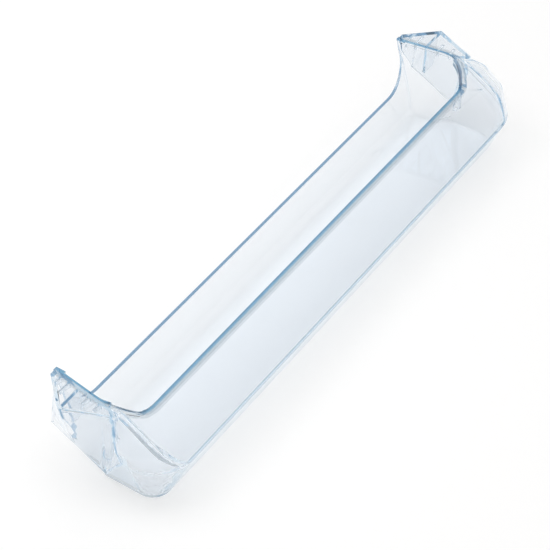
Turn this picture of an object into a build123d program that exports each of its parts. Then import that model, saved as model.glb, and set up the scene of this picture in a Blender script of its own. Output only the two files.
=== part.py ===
from build123d import *

import os
from math import radians, tan

# A fridge door shelf, moulded in one piece from clear plastic. It is a long low trough with a
# sloping front panel, a nose at each end of that panel and an ear at each end of the trough.
# Each ear is a hollow pocket that drops over a lug in the door.
# X runs along the length, -Y points to the room and +Z is up. While the shelf is drawn, Y is
# counted from the front edge of its base. Sizes are in millimetres.

WALL = 2.4

# Trough: base, leaning rear wall and end walls that splay towards the front
BASE_DEPTH = 73.0
TOP_HEIGHT = 70.0
REAR_LEAN = 13.6
END_HALF = 218.0
END_SPLAY = 8.0
END_DRAFT = 3.5
FOLD_RADIUS = 7.5

# Front panel, from its lower crease up to the front rim
CREASE_HEIGHT = 34.4
CREASE_REACH = 14.7
FRONT_RIM_HEIGHT = 57.3
FRONT_RIM_SETBACK = 24.1
PANEL_PAST_END = 3.3
PANEL_CORNER = 24.0

# Rims of the mouth: the front one is a narrow level lip that climbs to the top at each end
FRONT_LIP = 5.1
FRONT_LIP_CLIMB = 14.8
FRONT_LIP_BEND = 10.0
RIM_LIP = 1.0
MOUTH_CORNER = 24.0
REAR_RIM_HEIGHT = 31.5
REAR_RIM_CORNER = 26.0
REAR_POST = 1.5

# Noses, at five levels: how far the flank stands past the end wall, where the flank and the
# valley behind it lie, and the radius of the front corner
BASE_FLARE = 8.5
BASE_FLANK = 45.0
BASE_VALLEY = 52.0
BASE_CORNER = 14.0
KNEE_HEIGHT = 36.0
KNEE_FLARE = 18.2
KNEE_FLANK = 21.5
KNEE_VALLEY = 37.5
KNEE_CORNER = 32.0
BROW_HEIGHT = 50.0
BROW_REACH = 3.0
BROW_FLARE = 21.0
BROW_FLANK = 23.0
BROW_VALLEY = 36.5
BROW_CORNER = 20.0
SHOULDER_HEIGHT = 61.0
SHOULDER_SETBACK = 13.9
SHOULDER_FLARE = 18.3
SHOULDER_FLANK = 26.5
SHOULDER_VALLEY = 35.5
SHOULDER_CORNER = 11.0
CROWN_SETBACK = 31.5
CROWN_FLARE = 8.0
CROWN_FLANK = 35.5
CROWN_VALLEY = 39.5
CROWN_CORNER = 3.0

# Ears: the flange on top, and the skirt that folds down from its outer edges
EAR_REACH = 25.6
EAR_APEX = 65.9
EAR_REAR = 89.2
EAR_REAR_WIDTH = 3.9
EAR_FRONT = 30.0
EAR_FRONT_WIDTH = 10.8
SKIRT_REACH = 14.4
SKIRT_FRONT = 38.0
SKIRT_FRONT_HEIGHT = 10.6
SKIRT_FOLD = 78.0
SKIRT_FOLD_HEIGHT = 32.5
SKIRT_TAIL = 83.5
SLOT_HEIGHT = 64.0
EAR_ROOT = 5.0

# Ribs under each flange, from rear to front
RIB = 1.8
RIB_DEPTH = 5.0
RIB_PLACES = (82.5, 75.0, 56.0, 46.0)
RIB_REACH = 12.5
WEB_DEPTH = 26.0

SPARE = 40.0

knee_front = -CREASE_REACH * KNEE_HEIGHT / CREASE_HEIGHT
panel_top = FRONT_RIM_SETBACK - FRONT_LIP
panel_slope = (FRONT_RIM_HEIGHT - CREASE_HEIGHT) / (panel_top + CREASE_REACH)


def rear_wall(height):
    """Y of the outside of the rear wall at a height."""
    return BASE_DEPTH + height * tan(radians(REAR_LEAN))


def end_wall(y, height):
    """X of the outside of the end wall at a place along it and a height."""
    splay = (rear_wall(TOP_HEIGHT) - y) * tan(radians(END_SPLAY))
    draft = (TOP_HEIGHT - height) * tan(radians(END_DRAFT))
    return END_HALF + splay - draft


def level(height, flare, flank, valley, front, corner, inset, drop=0.0):
    """Outline of half the trough at one height, drawn inset by a wall thickness and dropped."""
    rear = rear_wall(height)
    reach = END_HALF + flare
    with BuildSketch(Plane.XY.offset(height - drop)) as outline:
        with BuildLine():
            Polyline(
                (-SPARE, rear),
                (end_wall(rear, height), rear),
                (end_wall(valley, height), valley),
                (reach, flank),
                (reach, front),
                (-SPARE, front),
                close=True,
            )
        make_face()
        front_end = outline.vertices().group_by(Axis.Y)[0].sort_by(Axis.X)[-1]
        fillet(front_end, corner)
        if inset:
            offset(amount=-inset, kind=Kind.INTERSECTION)
    return outline.sketch


def trough_block(inset):
    """The trough's outside as a solid block, or its cavity when inset by the wall."""
    with BuildPart() as block:
        levels = [
            level(0, BASE_FLARE, BASE_FLANK, BASE_VALLEY, 0, BASE_CORNER, inset, -inset),
            level(KNEE_HEIGHT, KNEE_FLARE, KNEE_FLANK, KNEE_VALLEY, knee_front, KNEE_CORNER, inset),
            level(
                BROW_HEIGHT,
                BROW_FLARE,
                BROW_FLANK,
                BROW_VALLEY,
                -BROW_REACH,
                BROW_CORNER,
                inset,
                inset,
            ),
            level(
                SHOULDER_HEIGHT,
                SHOULDER_FLARE,
                SHOULDER_FLANK,
                SHOULDER_VALLEY,
                SHOULDER_SETBACK,
                SHOULDER_CORNER,
                inset,
                inset,
            ),
            level(
                TOP_HEIGHT,
                CROWN_FLARE,
                CROWN_FLANK,
                CROWN_VALLEY,
                CROWN_SETBACK,
                CROWN_CORNER,
                inset,
                inset,
            ),
        ]
        loft(levels, ruled=True)
        rear_fold = block.edges().filter_by(Axis.X).group_by(Axis.Z)[0].sort_by(Axis.Y)[-1]
        fillet(rear_fold, FOLD_RADIUS + WALL - inset)
        add(panel_scoop(inset), mode=Mode.SUBTRACT)
    return block.part


def panel_scoop(inset):
    """What is scooped off between the noses, down to the front panel and its lip or to their inside."""
    panel = Plane(
        origin=(0, -CREASE_REACH, CREASE_HEIGHT),
        x_dir=(1, 0, 0),
        z_dir=(0, -panel_slope, 1),
    )
    side = END_HALF + PANEL_PAST_END + inset
    front = knee_front - WALL
    back = panel_top + (TOP_HEIGHT - FRONT_RIM_HEIGHT) / panel_slope + WALL
    lip_height = FRONT_RIM_HEIGHT - inset
    with BuildPart() as scoop:
        with BuildSketch() as outline:
            with BuildLine():
                Polyline((-2 * SPARE, front), (side, front), (side, back), (-2 * SPARE, back), close=True)
            make_face()
            front_end = outline.vertices().group_by(Axis.Y)[0].sort_by(Axis.X)[-1]
            fillet(front_end, PANEL_CORNER + inset)
        extrude(amount=TOP_HEIGHT + SPARE)
        split(bisect_by=panel.offset(-inset), keep=Keep.TOP)
        with BuildSketch(Plane.XZ.offset(-front)) as lip:
            with BuildLine():
                Polyline(
                    (-2 * SPARE, lip_height),
                    (side - FRONT_LIP_CLIMB, lip_height),
                    (side, TOP_HEIGHT - inset),
                    (side, TOP_HEIGHT + SPARE),
                    (-2 * SPARE, TOP_HEIGHT + SPARE),
                    close=True,
                )
            make_face()
            foot = lip.vertices().group_by(Axis.Y)[0].sort_by(Axis.X)[-1]
            fillet(foot, FRONT_LIP_BEND)
        extrude(amount=front - back)
    return scoop.part


with BuildPart() as outside:
    add(trough_block(0))

with BuildPart() as cavity:
    add(trough_block(WALL))


def mouth_level(height):
    """Outline of half the mouth at one height, a lip's width inside the end wall."""
    rim = WALL + RIM_LIP
    front = FRONT_RIM_SETBACK
    rear = rear_wall(mouth_floor) - rim
    with BuildSketch(Plane.XY.offset(height)) as opening:
        with BuildLine():
            Polyline(
                (-SPARE, front),
                (end_wall(front, height) - rim, front),
                (end_wall(rear, height) - rim, rear),
                (-SPARE, rear),
                close=True,
            )
        make_face()
        front_end = opening.vertices().group_by(Axis.Y)[0].sort_by(Axis.X)[-1]
        fillet(front_end, MOUTH_CORNER)
    return opening.sketch


mouth_floor = FRONT_RIM_HEIGHT - 2 * WALL
with BuildPart() as mouth:
    loft([mouth_level(mouth_floor), mouth_level(TOP_HEIGHT + WALL)], ruled=True)

with BuildPart() as rear_rim:
    rim_end = END_HALF - WALL - REAR_POST
    with BuildSketch(Plane.XZ.offset(WALL - BASE_DEPTH)) as drop:
        with BuildLine():
            Polyline(
                (-SPARE, REAR_RIM_HEIGHT),
                (rim_end, REAR_RIM_HEIGHT),
                (rim_end, TOP_HEIGHT + WALL),
                (-SPARE, TOP_HEIGHT + WALL),
                close=True,
            )
        make_face()
        foot = drop.vertices().group_by(Axis.Y)[0].sort_by(Axis.X)[-1]
        fillet(foot, REAR_RIM_CORNER)
    extrude(amount=-SPARE)


def ear_hull(inset):
    """An ear's outside as a solid, or the pocket inside it when inset by the wall."""
    skirt_slope = (SKIRT_FOLD_HEIGHT - SKIRT_FRONT_HEIGHT) / (SKIRT_FOLD - SKIRT_FRONT)
    lower_edge = Plane(
        origin=(0, SKIRT_FRONT, SKIRT_FRONT_HEIGHT),
        x_dir=(1, 0, 0),
        z_dir=(0, -skirt_slope, 1),
    )
    run = (1 + skirt_slope**2) ** 0.5
    root = END_HALF - EAR_ROOT
    with BuildPart() as hull:
        with BuildSketch(Plane.XY.offset(TOP_HEIGHT - inset)) as flange:
            with BuildLine():
                Polyline(
                    (root, EAR_REAR),
                    (END_HALF + EAR_REAR_WIDTH, EAR_REAR),
                    (END_HALF + EAR_REACH, EAR_APEX),
                    (END_HALF + EAR_FRONT_WIDTH, EAR_FRONT),
                    (root, EAR_FRONT),
                    close=True,
                )
            make_face()
            if inset:
                offset(amount=-inset, kind=Kind.INTERSECTION)
        with BuildSketch(lower_edge.offset(-2 * inset)) as skirt:
            with BuildLine():
                Polyline(
                    (root, (SKIRT_TAIL - SKIRT_FRONT - WALL) * run),
                    (END_HALF + SKIRT_REACH, (SKIRT_TAIL - SKIRT_FRONT) * run),
                    (END_HALF + SKIRT_REACH, (SKIRT_FOLD - SKIRT_FRONT) * run),
                    (END_HALF + SKIRT_REACH, 0),
                    (root, 0),
                    close=True,
                )
            make_face()
            if inset:
                offset(amount=-inset, kind=Kind.INTERSECTION)
        loft([skirt.sketch, flange.sketch], ruled=True)
    return hull.part


with BuildPart() as pocket:
    add(ear_hull(WALL))
    add(outside.part, mode=Mode.SUBTRACT)

with BuildPart() as tail_slot:
    with BuildSketch(Plane.XZ.offset(-SKIRT_FOLD)):
        with BuildLine():
            Polyline(
                (END_HALF - WALL, SLOT_HEIGHT),
                (END_HALF + SKIRT_REACH - WALL, SKIRT_FOLD_HEIGHT + WALL),
                (END_HALF + SKIRT_REACH - WALL, 0),
                (END_HALF - WALL, 0),
                close=True,
            )
        make_face()
    extrude(amount=-SPARE)
    add(outside.part, mode=Mode.SUBTRACT)

with BuildPart() as ribs:
    under = TOP_HEIGHT - WALL / 2
    for place in RIB_PLACES:
        with BuildSketch(Plane.XZ.offset(-place)):
            with BuildLine():
                Polyline(
                    (END_HALF, under),
                    (END_HALF + RIB_REACH, under),
                    (END_HALF + RIB_REACH, TOP_HEIGHT - WALL - RIB_DEPTH / 2),
                    (END_HALF, TOP_HEIGHT - WALL - RIB_DEPTH),
                    close=True,
                )
            make_face()
        extrude(amount=RIB / 2, both=True)
    with BuildSketch(Plane.XZ.offset(-EAR_APEX)):
        with BuildLine():
            Polyline(
                (END_HALF, under),
                (END_HALF + EAR_REACH, under),
                (END_HALF + SKIRT_REACH, TOP_HEIGHT - WEB_DEPTH),
                (END_HALF, TOP_HEIGHT - WEB_DEPTH),
                close=True,
            )
        make_face()
    extrude(amount=RIB / 2, both=True)
    add(ear_hull(WALL / 2), mode=Mode.INTERSECT)

with BuildPart() as shelf:
    add(outside.part)
    add(ear_hull(0))
    add(panel_scoop(0), mode=Mode.SUBTRACT)
    add(pocket.part, mode=Mode.SUBTRACT)
    add(tail_slot.part, mode=Mode.SUBTRACT)
    add(ribs.part)
    add(cavity.part, mode=Mode.SUBTRACT)
    add(mouth.part, mode=Mode.SUBTRACT)
    add(rear_rim.part, mode=Mode.SUBTRACT)
    split(bisect_by=Plane.YZ, keep=Keep.TOP)
    mirror(about=Plane.YZ)

mid_depth = shelf.part.bounding_box().center().Y
door_shelf = shelf.part.moved(Location((0, -mid_depth, 0)))
door_shelf.label = "door_shelf"
os.makedirs("parts", exist_ok=True)
export_step(door_shelf, "parts/door_shelf.step")
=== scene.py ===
from math import radians, sqrt

import bmesh
import bpy
from mathutils import Matrix, Vector
from mathutils.geometry import intersect_point_line


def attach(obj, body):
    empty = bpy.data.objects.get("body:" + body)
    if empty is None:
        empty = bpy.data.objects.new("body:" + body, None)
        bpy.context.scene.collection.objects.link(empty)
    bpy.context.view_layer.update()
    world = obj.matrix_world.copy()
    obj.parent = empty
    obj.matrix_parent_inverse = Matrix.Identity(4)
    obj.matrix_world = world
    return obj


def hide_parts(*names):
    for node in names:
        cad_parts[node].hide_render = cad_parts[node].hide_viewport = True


# A clear door shelf for a refrigerator, standing on a white table under soft studio light.
# Everything is in metres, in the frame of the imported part: X along the shelf, -Y its front, Z up.

# The photographer's place
VIEW_AZIMUTH = -55.68
VIEW_ELEVATION = 44.42
VIEW_DISTANCE = 1.50375
VIEW_AIM = (-0.00591, 0.01839, 0.00554)
LENS = 132.44
SENSOR = 36.0

# The shelf's mouth, as seen from above: its front line, its splayed ends and its corners
MOUTH_FRONT = -0.01331
MOUTH_END = 0.22198
MOUTH_SPLAY = 0.1405
MOUTH_CORNER = 0.024

# Painted light on the rims goes on faces that look up at least this much, on the mouth's rim above this
# height
FACES_UP = 0.45
RIM_FLOOR = 0.054

# Widths of the painted blue glow on the mouth's cut edge and of the painted grey shade on the land
# beside it, and the multiples where they have faded out
EDGE_STRIP = 0.0019
STRIP_FADE = 1.15
LIP_LAND = 0.0051
LAND_FADE = 1.05

# The share of a corner's radius over which the painted blue glow of the cut edge turns to painted navy
# shade
CORNER_BLEND = 0.5

# The bounds of the painted blue glow on the rear rim's top
REAR_LOW = 0.025
REAR_HIGH = 0.068
REAR_LINE = 0.03
REAR_END = 0.2185

# Moulded edges are never quite sharp: their rounding, and how many times as much room it needs
EDGE_ROUND = 0.0006
ROUND_SEGMENTS = 2
ROOM_TO_ROUND = 2.6

# Corners this near are one, faces within these degrees are one flat face or one smooth curve,
# and large faces set the normals
MERGE_WITHIN = 0.0002
FLAT_ANGLE = 0.5
SMOOTH_ANGLE = 28.0
FLATS_WEIGHT = 100

# The plastic's own clear tint, and the painted light on its rims
CLEAR = (0.917, 0.936, 0.957, 1.0)
# A painted blue glow on the cut edges, painted navy shade in the mouth's corners and painted grey shade
# on the land
PAINTED_EDGE_GLOW = (0.17, 0.38, 0.56, 1.0)
PAINTED_CORNER_SHADE = (0.03, 0.08, 0.16, 1.0)
PAINTED_LAND_SHADE = (0.6, 0.65, 0.69, 1.0)
PAINTED_REAR_GLOW = (0.42, 0.51, 0.61, 1.0)

# How light goes through the plastic, and after how many turns inside the walls it is let out of them
REFRACTION = 1.57
DEPTH_BLUE = (0.08, 0.55, 0.85, 1.0)
DEPTH_DENSITY = 4.0
TRAPPED_AFTER = 2.5
LET_OUT_BLUE = (0.82, 0.89, 0.94, 1.0)
SHADOW_GREY = (0.82, 0.82, 0.82, 1.0)

# The ripple left by the flow into the mould, and the haze on the polish
FLOW_SCALE = 22.0
FLOW_DETAIL = 2.0
FLOW_ROUGHNESS = 0.45
FLOW_STRETCH = (0.35, 1.0, 1.0)
RIPPLE = 0.035
RIPPLE_DEPTH = 0.002
HAZE_SCALE = 140.0
HAZE_DETAIL = 4.0
HAZE_LOW = 0.3
HAZE_HIGH = 0.7
POLISH_FINE = 0.01
POLISH_COARSE = 0.04

# The table, which glows more the further it is from the shelf
TABLE_SIZE = 16.0
TABLE_WHITE = (0.865, 0.865, 0.865, 1.0)
TABLE_GLOW = 0.2
FAR_GLOW = 0.44
NEAR_TABLE = 0.4
FAR_TABLE = 1.4

# The light: a sky, and softboxes with their places and watts
SKY_WHITE = (1.0, 0.995, 0.99, 1.0)
SKY_LIGHT = 0.66
SOFTBOX_SIDE = 0.9
SOFTBOXES = (
    ("softbox_behind", (-0.4, 0.8, 1.5), 6.6),
    ("softbox_over", (0.1, 0.0, 1.6), 3.5),
)


def view_axes():
    """The directions right, up and back of the photographer's view."""
    turn = Matrix.Rotation(radians(VIEW_AZIMUTH), 3, "Z")
    tilt = Matrix.Rotation(radians(90 - VIEW_ELEVATION), 3, "X")
    return turn @ tilt


def deselect_all():
    bpy.ops.object.select_all(action="DESELECT")


def bare_material(name):
    """A new material without nodes, and its node tree."""
    material = bpy.data.materials.new(name)
    material.use_nodes = True
    material.node_tree.nodes.clear()
    return material, material.node_tree


def feed(tree, node, inputs):
    """Gives a node's inputs plain values, or the outputs of other nodes."""
    for key, term in inputs.items():
        if isinstance(term, bpy.types.NodeSocket):
            tree.links.new(term, node.inputs[key])
        else:
            node.inputs[key].default_value = term


def add_node(tree, kind, inputs):
    node = tree.nodes.new(kind)
    feed(tree, node, inputs)
    return node


def sums(tree, operation, *terms):
    """The result of a Math node on outputs and plain numbers."""
    node = tree.nodes.new("ShaderNodeMath")
    node.operation = operation
    feed(tree, node, dict(enumerate(terms)))
    return node.outputs["Value"]


def product(tree, *terms):
    """Several outputs multiplied."""
    total = terms[0]
    for term in terms[1:]:
        total = sums(tree, "MULTIPLY", total, term)
    return total


def ramp(tree, value, start, end, first, last, curve="SMOOTHSTEP"):
    """The level first up to start, the level last from end on, and a passage between them."""
    node = tree.nodes.new("ShaderNodeMapRange")
    node.interpolation_type = curve
    levels = {"From Min": start, "From Max": end, "To Min": first, "To Max": last}
    feed(tree, node, {"Value": value, **levels})
    return node.outputs["Result"]


def tint(tree, share, under, over):
    """Lays a colour over another by a share of it."""
    mix = tree.nodes.new("ShaderNodeMix")
    mix.data_type = "RGBA"
    feed(tree, mix, {"Factor": share, "A": under, "B": over})
    return mix.outputs["Result"]


def round_the_mouth(tree, x, y):
    """How far a spot lies outside the mouth's edge, and how far into one of the mouth's corners."""
    skew = MOUTH_SPLAY / sqrt(1 + MOUTH_SPLAY ** 2)
    square = sqrt(1 - skew ** 2)
    end_line = sums(tree, "MULTIPLY_ADD", y, -MOUTH_SPLAY, MOUTH_END)
    past_line = sums(tree, "SUBTRACT", sums(tree, "ABSOLUTE", x), end_line)
    past_front = sums(tree, "SUBTRACT", MOUTH_FRONT + MOUTH_CORNER, y)
    past_end = sums(tree, "MULTIPLY_ADD", past_line, square, MOUTH_CORNER)
    beyond_front = sums(tree, "MAXIMUM", past_front, 0.0)
    beyond_end = sums(tree, "MAXIMUM", past_end, 0.0)
    along_front = sums(tree, "MAXIMUM", past_front, product(tree, beyond_end, -skew))
    along_end = sums(tree, "MAXIMUM", past_end, product(tree, beyond_front, -skew))

    # The two lines don't meet square, so the law of cosines gives the reach from the corner's middle
    front_square = product(tree, along_front, along_front)
    end_square = product(tree, along_end, along_end)
    between = product(tree, along_front, along_end, 2 * skew)
    squares = sums(tree, "ADD", sums(tree, "ADD", front_square, end_square), between)
    reach = sums(tree, "DIVIDE", sums(tree, "SQRT", squares), square)
    return sums(tree, "SUBTRACT", reach, MOUTH_CORNER), sums(tree, "MINIMUM", along_front, along_end)


def along_rear_rim(tree, x, y, z):
    """One within the bounds of the rear rim's top, and none elsewhere."""
    over = sums(tree, "GREATER_THAN", z, REAR_LOW)
    under = sums(tree, "LESS_THAN", z, REAR_HIGH)
    behind = sums(tree, "GREATER_THAN", y, REAR_LINE)
    within = sums(tree, "LESS_THAN", sums(tree, "ABSOLUTE", x), REAR_END)
    return product(tree, over, under, behind, within)


def clear_tint_and_painted_rim_light(tree, place):
    """The plastic's clear tint, with painted light on the rims: a painted blue glow on the mouth's cut
    edge, turning to painted navy shade in its corners, painted grey shade on the land beside it and a
    painted blue glow on the rear rim's top.
    """
    spot = add_node(tree, "ShaderNodeSeparateXYZ", {"Vector": place.outputs["Object"]})
    facing = add_node(tree, "ShaderNodeSeparateXYZ", {"Vector": place.outputs["Normal"]})
    x, y, z = spot.outputs
    outside, turn = round_the_mouth(tree, x, y)

    # Masks of painted light: a blue glow on the cut edge, grey shade on the land beside it and a blue
    # glow on the rear rim's top
    upward = sums(tree, "GREATER_THAN", facing.outputs["Z"], FACES_UP)
    raised = product(tree, upward, sums(tree, "GREATER_THAN", z, RIM_FLOOR))
    edge_glow_mask = product(tree, raised, ramp(tree, outside, EDGE_STRIP, EDGE_STRIP * STRIP_FADE, 1.0, 0.0))
    land_shade_mask = product(tree, raised, ramp(tree, outside, LIP_LAND, LIP_LAND * LAND_FADE, 1.0, 0.0))
    rear_glow_mask = product(tree, upward, along_rear_rim(tree, x, y, z))

    # Painted navy shade in the mouth's corners, over the painted blue glow of the cut edge
    corner_shade_share = ramp(tree, turn, 0.0, MOUTH_CORNER * CORNER_BLEND, 0.0, 1.0)
    edge = tint(tree, corner_shade_share, PAINTED_EDGE_GLOW, PAINTED_CORNER_SHADE)
    # The clear tint with the painted grey land shade and painted rear rim glow over it, and the painted
    # edge glow over all
    clear = tint(tree, rear_glow_mask, tint(tree, land_shade_mask, CLEAR, PAINTED_LAND_SHADE), PAINTED_REAR_GLOW)
    return tint(tree, edge_glow_mask, clear, edge)


def flow_ripple(tree, place):
    """The normal of a surface that the flow into the mould left a little wavy."""
    stretch = add_node(
        tree,
        "ShaderNodeMapping",
        {"Vector": place.outputs["Object"], "Scale": FLOW_STRETCH},
    )
    flow = add_node(
        tree,
        "ShaderNodeTexNoise",
        {
            "Vector": stretch.outputs["Vector"],
            "Scale": FLOW_SCALE,
            "Detail": FLOW_DETAIL,
            "Roughness": FLOW_ROUGHNESS,
        },
    )
    ripple = add_node(
        tree,
        "ShaderNodeBump",
        {"Strength": RIPPLE, "Distance": RIPPLE_DEPTH, "Height": flow.outputs["Fac"]},
    )
    return ripple.outputs["Normal"]


def hazy_polish(tree, place):
    """The roughness of the polish, which changes a little from spot to spot."""
    haze = add_node(
        tree,
        "ShaderNodeTexNoise",
        {"Vector": place.outputs["Object"], "Scale": HAZE_SCALE, "Detail": HAZE_DETAIL},
    )
    return ramp(tree, haze.outputs["Fac"], HAZE_LOW, HAZE_HIGH, POLISH_FINE, POLISH_COARSE, "LINEAR")


def clear_plastic():
    """Injection-moulded styrene: water clear through the wall, blue along it, with painted glow and
    shade on its rims.
    """
    material, tree = bare_material("clear_blue_styrene")
    place = tree.nodes.new("ShaderNodeTexCoord")
    path = tree.nodes.new("ShaderNodeLightPath")

    shell = add_node(
        tree,
        "ShaderNodeBsdfPrincipled",
        {
            "Base Color": clear_tint_and_painted_rim_light(tree, place),
            "Roughness": hazy_polish(tree, place),
            "Normal": flow_ripple(tree, place),
            "Transmission Weight": 1.0,
            "IOR": REFRACTION,
        },
    )
    depth = add_node(
        tree,
        "ShaderNodeVolumeAbsorption",
        {"Color": DEPTH_BLUE, "Density": DEPTH_DENSITY},
    )
    let_out = add_node(tree, "ShaderNodeBsdfTransparent", {"Color": LET_OUT_BLUE})
    passing = add_node(tree, "ShaderNodeBsdfTransparent", {"Color": SHADOW_GREY})

    trapped = sums(tree, "GREATER_THAN", path.outputs["Glossy Depth"], TRAPPED_AFTER)
    escape = add_node(
        tree,
        "ShaderNodeMixShader",
        {"Fac": trapped, 1: shell.outputs["BSDF"], 2: let_out.outputs["BSDF"]},
    )
    shade = add_node(
        tree,
        "ShaderNodeMixShader",
        {
            "Fac": path.outputs["Is Shadow Ray"],
            1: escape.outputs["Shader"],
            2: passing.outputs["BSDF"],
        },
    )
    add_node(
        tree,
        "ShaderNodeOutputMaterial",
        {"Surface": shade.outputs["Shader"], "Volume": depth.outputs["Volume"]},
    )
    return material


def edge_room(edge):
    """How near the other corners of an edge's two faces come to it."""
    start, end = (corner.co for corner in edge.verts)
    rooms = [edge.calc_length()]
    for face in edge.link_faces:
        for corner in face.verts:
            if corner not in edge.verts:
                share = intersect_point_line(corner.co, start, end)[1]
                nearest = start.lerp(end, min(max(share, 0.0), 1.0))
                rooms.append((corner.co - nearest).length)
    return min(rooms)


def select_sharp_edges(piece):
    """Selects the sharp edges of a piece in edit mode that have room for a rounding."""
    bpy.ops.mesh.select_all(action="DESELECT")
    bpy.ops.mesh.select_mode(type="EDGE")
    mesh = bmesh.from_edit_mesh(piece.data)
    for edge in mesh.edges:
        sharp = edge.calc_face_angle(0.0) > radians(SMOOTH_ANGLE)
        edge.select = sharp and edge_room(edge) > EDGE_ROUND * ROOM_TO_ROUND
    bmesh.update_edit_mesh(piece.data)


def rounded_shelf(moulding):
    """A copy of the moulding whose edges are a little rounded and whose curves are smooth."""
    deselect_all()
    moulding.select_set(True)
    bpy.context.view_layer.objects.active = moulding
    bpy.ops.object.duplicate()
    shelf = bpy.context.object
    shelf.name = "clear_shelf"
    bpy.ops.object.mode_set(mode="EDIT")
    bpy.ops.mesh.select_all(action="SELECT")
    bpy.ops.mesh.remove_doubles(threshold=MERGE_WITHIN)
    bpy.ops.mesh.dissolve_limited(angle_limit=radians(FLAT_ANGLE))
    select_sharp_edges(shelf)
    bpy.ops.mesh.bevel(
        offset=EDGE_ROUND,
        segments=ROUND_SEGMENTS,
        affect="EDGES",
        clamp_overlap=False,
    )
    bpy.ops.object.mode_set(mode="OBJECT")
    bpy.ops.object.shade_smooth_by_angle(angle=radians(SMOOTH_ANGLE))
    flats = shelf.modifiers.new("flats", "WEIGHTED_NORMAL")
    flats.mode = "FACE_AREA"
    flats.weight = FLATS_WEIGHT
    flats.keep_sharp = True
    bpy.ops.object.modifier_apply(modifier=flats.name)
    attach(shelf, "root")
    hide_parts("door_shelf")
    return shelf


def seen_ray(tree, *mirrored):
    """One for a ray that is seen straight or through the plastic, or by way of a path that is named."""
    path = tree.nodes.new("ShaderNodeLightPath")
    seen = path.outputs["Is Camera Ray"]
    for way in ("Is Transmission Ray",) + mirrored:
        seen = sums(tree, "MAXIMUM", seen, path.outputs[way])
    return seen


def white_table():
    """A pale table top that the camera, and the clear plastic, see as white."""
    material, tree = bare_material("white_table_top")
    place = tree.nodes.new("ShaderNodeTexCoord")
    reach = tree.nodes.new("ShaderNodeVectorMath")
    reach.operation = "LENGTH"
    feed(tree, reach, {0: place.outputs["Object"]})
    whiten = ramp(tree, reach.outputs["Value"], NEAR_TABLE, FAR_TABLE, TABLE_GLOW, FAR_GLOW)
    level = product(tree, seen_ray(tree, "Is Glossy Ray"), whiten)

    paint = add_node(tree, "ShaderNodeBsdfDiffuse", {"Color": TABLE_WHITE})
    glow = add_node(tree, "ShaderNodeEmission", {"Strength": level})
    both = add_node(
        tree,
        "ShaderNodeAddShader",
        {0: paint.outputs["BSDF"], 1: glow.outputs["Emission"]},
    )
    add_node(tree, "ShaderNodeOutputMaterial", {"Surface": both.outputs["Shader"]})
    return material


def lay_table():
    deselect_all()
    bpy.ops.mesh.primitive_plane_add(size=TABLE_SIZE, location=(0, 0, 0))
    table = bpy.context.object
    table.name = "table_top"
    table.data.materials.append(white_table())


def hang_softbox(name, place, power):
    """A square lamp that is turned to the middle of the table."""
    lamp = bpy.data.lights.new(name, "AREA")
    lamp.shape = "SQUARE"
    lamp.size = SOFTBOX_SIDE
    lamp.energy = power
    holder = bpy.data.objects.new(name, lamp)
    holder.location = place
    holder.rotation_euler = (-Vector(place)).to_track_quat("-Z", "Y").to_euler()
    bpy.context.scene.collection.objects.link(holder)


def light_studio():
    """A soft sky that is white where it is seen, and the softboxes."""
    world = bpy.data.worlds.new("studio")
    world.use_nodes = True
    bpy.context.scene.world = world
    tree = world.node_tree
    strength = sums(tree, "MULTIPLY_ADD", seen_ray(tree), 1.0 - SKY_LIGHT, SKY_LIGHT)
    feed(tree, tree.nodes["Background"], {"Color": SKY_WHITE, "Strength": strength})
    for name, place, power in SOFTBOXES:
        hang_softbox(name, place, power)


def set_camera():
    lens = bpy.data.cameras.new("photographer")
    lens.lens = LENS
    lens.sensor_width = SENSOR
    lens.sensor_fit = "HORIZONTAL"
    camera = bpy.data.objects.new("photographer", lens)
    axes = view_axes()
    camera.matrix_world = axes.to_4x4()
    camera.location = Vector(VIEW_AIM) + axes.col[2] * VIEW_DISTANCE
    bpy.context.scene.collection.objects.link(camera)
    bpy.context.scene.camera = camera


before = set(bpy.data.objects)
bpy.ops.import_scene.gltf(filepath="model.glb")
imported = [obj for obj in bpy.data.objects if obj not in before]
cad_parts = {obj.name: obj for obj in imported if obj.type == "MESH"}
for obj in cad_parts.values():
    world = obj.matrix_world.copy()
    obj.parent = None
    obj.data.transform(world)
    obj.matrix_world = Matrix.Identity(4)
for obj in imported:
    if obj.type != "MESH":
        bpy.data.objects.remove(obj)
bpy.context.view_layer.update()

shelf = rounded_shelf(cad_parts["door_shelf"])
shelf.data.materials.clear()
shelf.data.materials.append(clear_plastic())

lay_table()
light_studio()
set_camera()
bpy.context.scene.view_settings.view_transform = "Standard"
